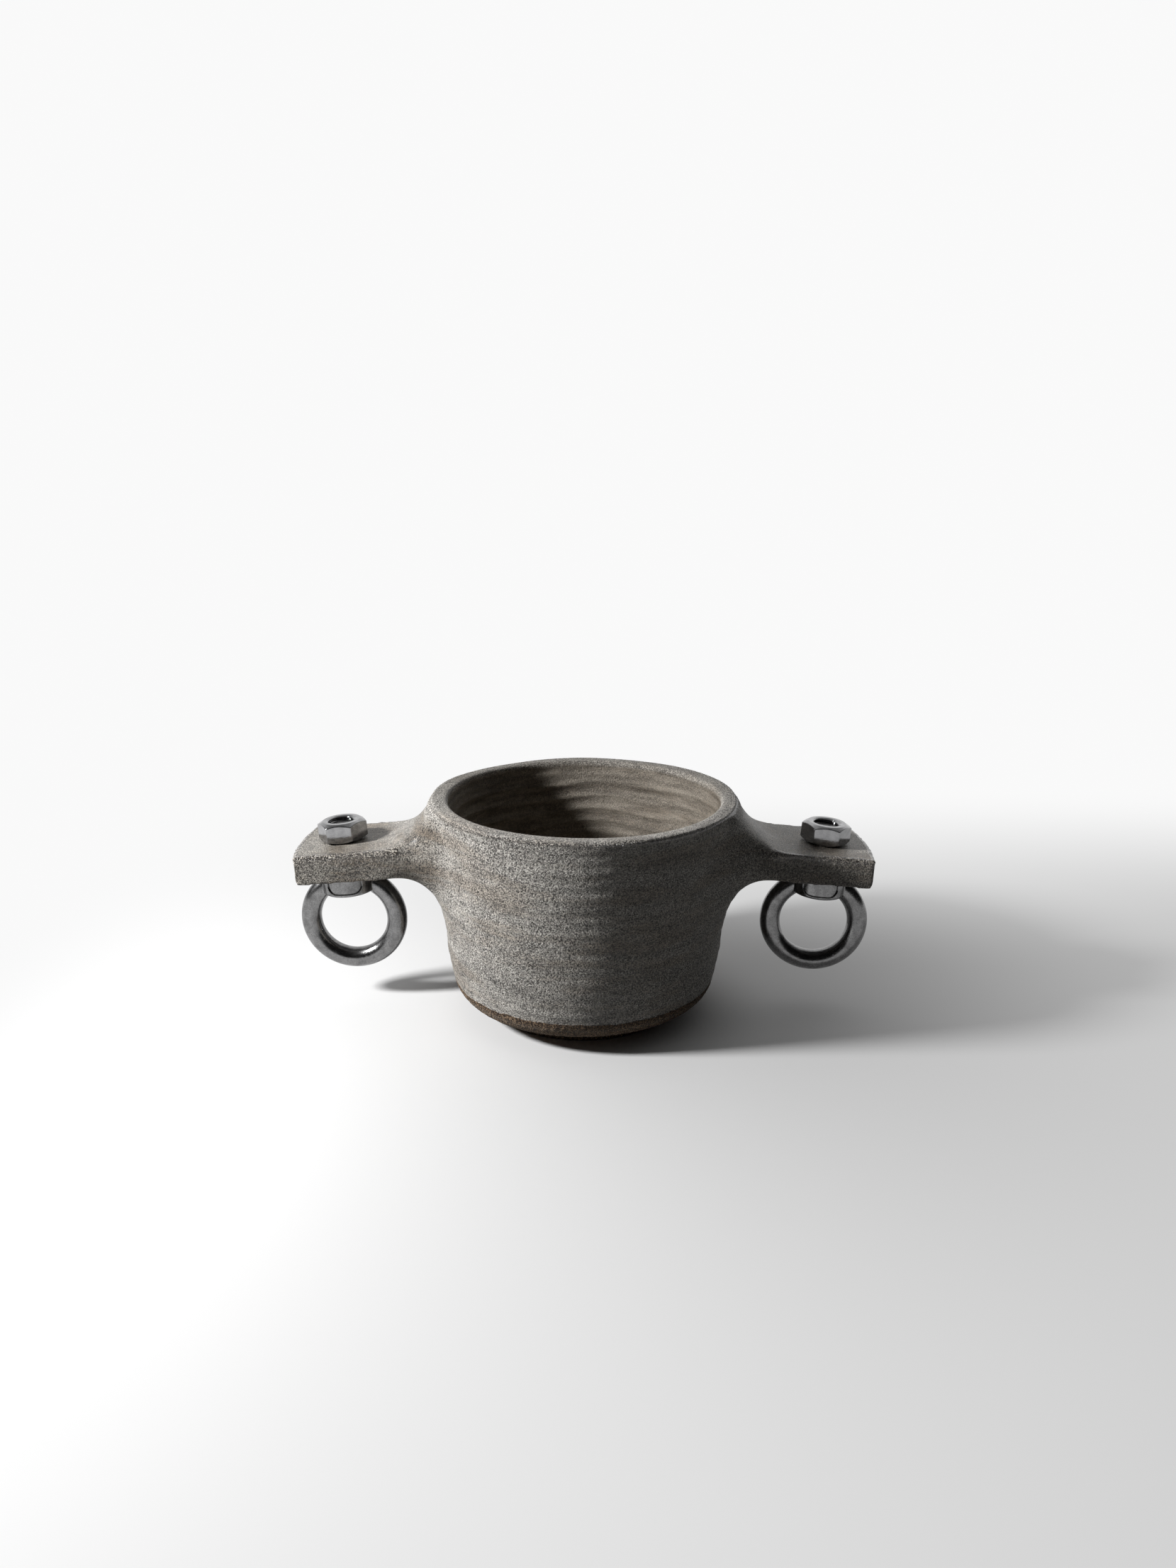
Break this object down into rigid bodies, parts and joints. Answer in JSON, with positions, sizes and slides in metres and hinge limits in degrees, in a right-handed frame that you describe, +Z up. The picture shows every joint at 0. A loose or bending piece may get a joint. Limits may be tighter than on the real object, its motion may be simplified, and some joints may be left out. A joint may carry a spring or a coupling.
{
  "type": "skyphos cup",
  "caption": "Thrown stoneware drinking cup with flat side handles, each pierced by an eye bolt whose ring hangs below and whose nut sits on top.",
  "frame": {"origin": "centre of the foot, on the surface that the cup stands on", "axes": "+X to the right-hand handle, +Y away from the front, +Z up along the cup's axis"},
  "size_m": [0.1736, 0.0906, 0.0658],
  "materials": {
    "stoneware": "semi-matt speckled grey glaze, bare brown clay at the foot",
    "eye_bolt_steel": "satin forged stainless steel",
    "nut_steel": "bright machined stainless steel"
  },
  "bodies": {
    "cup": {"cup": "stoneware"},
    "left_eye": {"left_eye_bolt": "eye_bolt_steel"},
    "right_eye": {"right_eye_bolt": "eye_bolt_steel"},
    "left_nut": {"left_nut": "nut_steel"},
    "right_nut": {"right_nut": "nut_steel"}
  },
  "joints": [
    {"name": "left_eye_turn", "type": "hinge", "parent": "cup", "child": "left_eye", "pos_m": [-0.07182, 0, 0.04263], "axis": [0.0767, 0, -0.9971], "range_deg": [0, 1080]},
    {"name": "left_nut_climb", "type": "slide", "parent": "cup", "child": "left_nut", "axis": [-0.0767, 0, 0.9971], "range_m": [0, 0.00376]},
    {"name": "right_eye_turn", "type": "hinge", "parent": "cup", "child": "right_eye", "pos_m": [0.07182, 0, 0.04263], "axis": [-0.0767, 0, -0.9971], "range_deg": [0, 1080]},
    {"name": "right_nut_climb", "type": "slide", "parent": "cup", "child": "right_nut", "axis": [0.0767, 0, 0.9971], "range_m": [0, 0.00376]}
  ],
  "couplings": [
    {"joint": "left_nut_climb", "follows": "left_eye_turn", "m_per_rad": 0.00019894},
    {"joint": "right_nut_climb", "follows": "right_eye_turn", "m_per_rad": 0.00019894}
  ]
}
